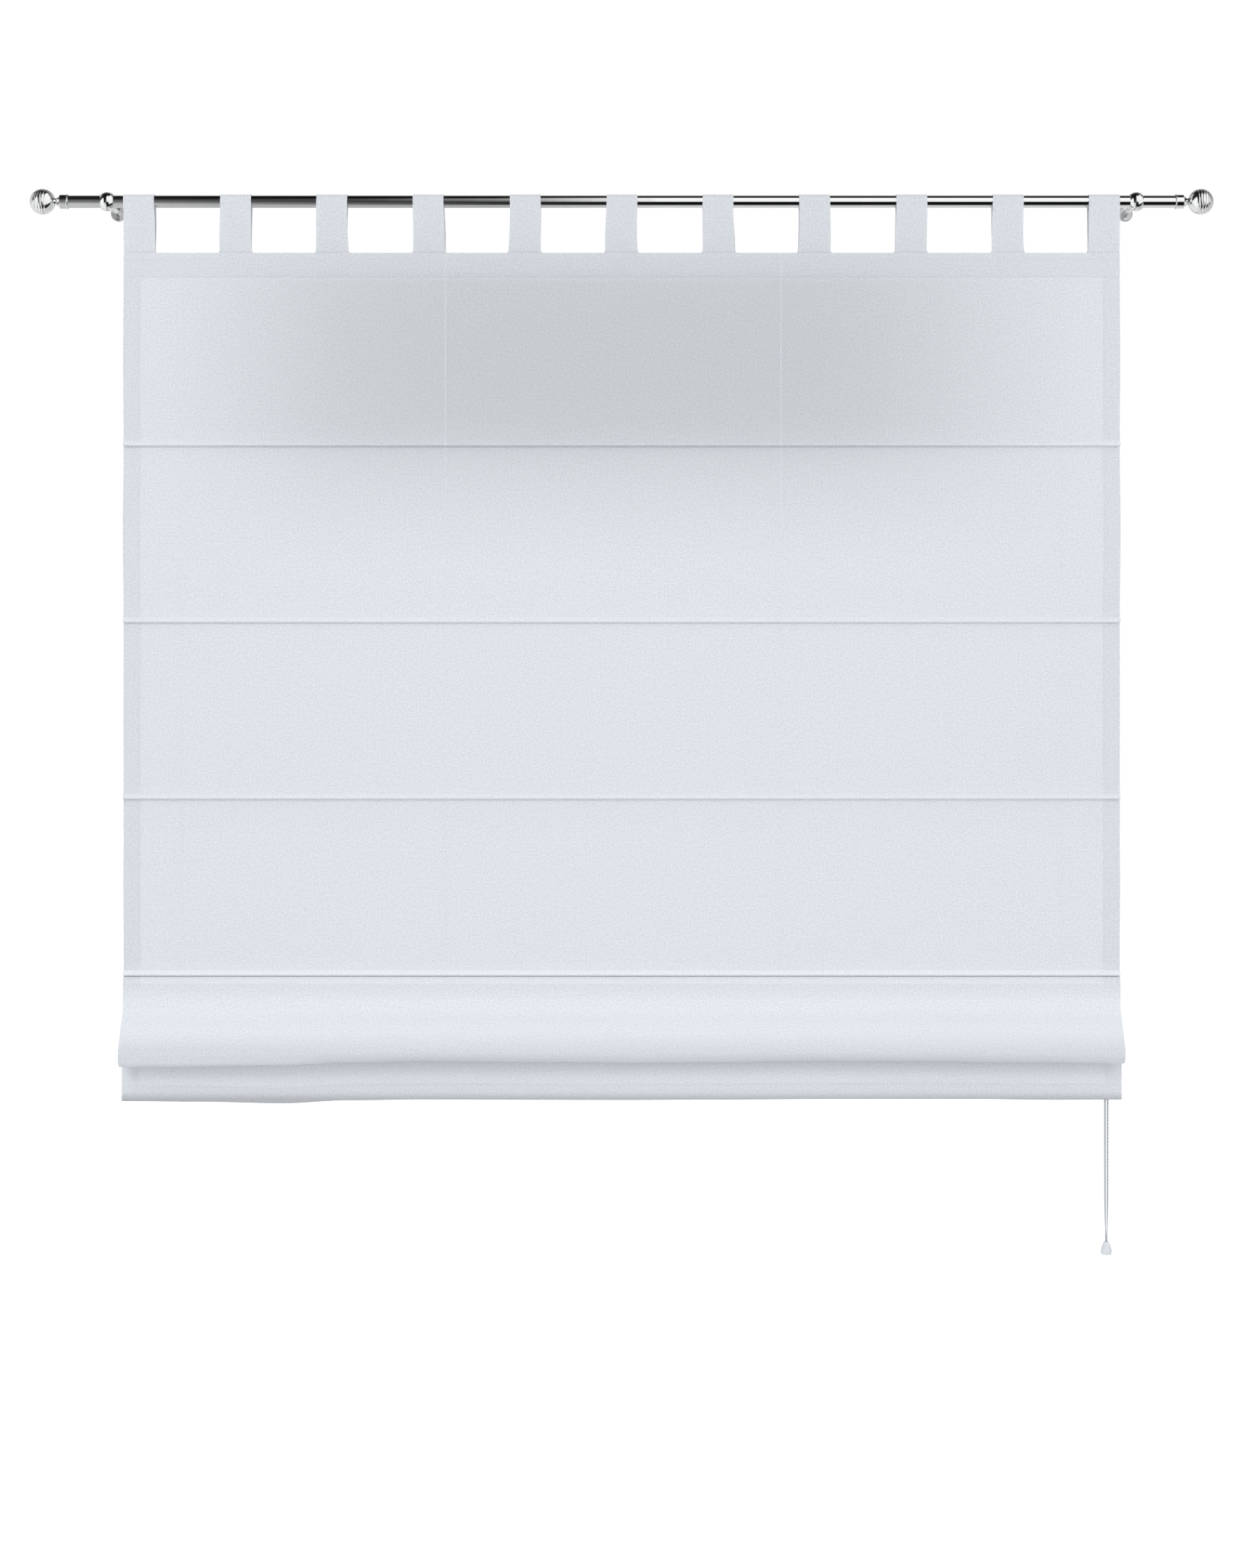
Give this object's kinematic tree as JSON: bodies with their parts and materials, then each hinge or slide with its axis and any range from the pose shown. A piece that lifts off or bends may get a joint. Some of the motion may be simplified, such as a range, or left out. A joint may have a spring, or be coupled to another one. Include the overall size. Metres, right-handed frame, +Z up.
{
  "type": "voile blind",
  "caption": "Tab-top roman blind of sheer white voile, drawn up by one fold, on a slim chrome curtain pole with ball finials, wall brackets, lift cords and a bell pull.",
  "frame": {"origin": "middle of the back face of the left wall plate, in the plane of the wall", "axes": "+X along the pole to the right, +Y into the wall, +Z up"},
  "size_m": [1.546, 0.1581, 1.3932],
  "materials": {
    "pole_chrome": "polished chrome plate",
    "fitting_chrome": "polished chrome plate",
    "screw_steel": "plated steel",
    "voile": "plain woven polyester voile",
    "header_voile": "doubled voile",
    "rib_plastic": "extruded white rod",
    "ring_plastic": "moulded clear white",
    "cord": "braided white cord",
    "pull_plastic": "moulded white plastic"
  },
  "bodies": {
    "root": {"arm_left": "fitting_chrome", "arm_right": "fitting_chrome", "bell_knot": "cord", "bottom_bar": "rib_plastic", "finial_left": "fitting_chrome", "finial_right": "fitting_chrome", "guide_ring_1_1": "ring_plastic", "guide_ring_1_2": "ring_plastic", "guide_ring_1_3": "ring_plastic", "guide_ring_1_4": "ring_plastic", "guide_ring_2_1": "ring_plastic", "guide_ring_2_2": "ring_plastic", "guide_ring_2_3": "ring_plastic", "guide_ring_2_4": "ring_plastic", "guide_ring_3_1": "ring_plastic", "guide_ring_3_2": "ring_plastic", "guide_ring_3_3": "ring_plastic", "guide_ring_3_4": "ring_plastic", "guide_ring_4_1": "ring_plastic", "guide_ring_4_2": "ring_plastic", "guide_ring_4_3": "ring_plastic", "guide_ring_4_4": "ring_plastic", "guide_ring_5_1": "ring_plastic", "guide_ring_5_2": "ring_plastic", "guide_ring_5_3": "ring_plastic", "guide_ring_5_4": "ring_plastic", "header_facing": "header_voile", "holder_left": "fitting_chrome", "holder_right": "fitting_chrome", "lift_cord_1": "cord", "lift_cord_2": "cord", "lift_cord_3": "cord", "lift_cord_4": "cord", "pole_tube": "pole_chrome", "pull_bell": "pull_plastic", "rib_rod_1": "rib_plastic", "rib_rod_2": "rib_plastic", "rib_rod_3": "rib_plastic", "rib_rod_4": "rib_plastic", "rib_rod_5": "rib_plastic", "set_screw_left": "screw_steel", "set_screw_right": "screw_steel", "tab_01": "header_voile", "tab_02": "header_voile", "tab_03": "header_voile", "tab_04": "header_voile", "tab_05": "header_voile", "tab_06": "header_voile", "tab_07": "header_voile", "tab_08": "header_voile", "tab_09": "header_voile", "tab_10": "header_voile", "tab_11": "header_voile", "voile_panel": "voile", "wall_plate_left": "fitting_chrome", "wall_plate_right": "fitting_chrome", "wall_screw_left_lower": "screw_steel", "wall_screw_left_upper": "screw_steel", "wall_screw_right_lower": "screw_steel", "wall_screw_right_upper": "screw_steel"}
  },
  "joints": []
}
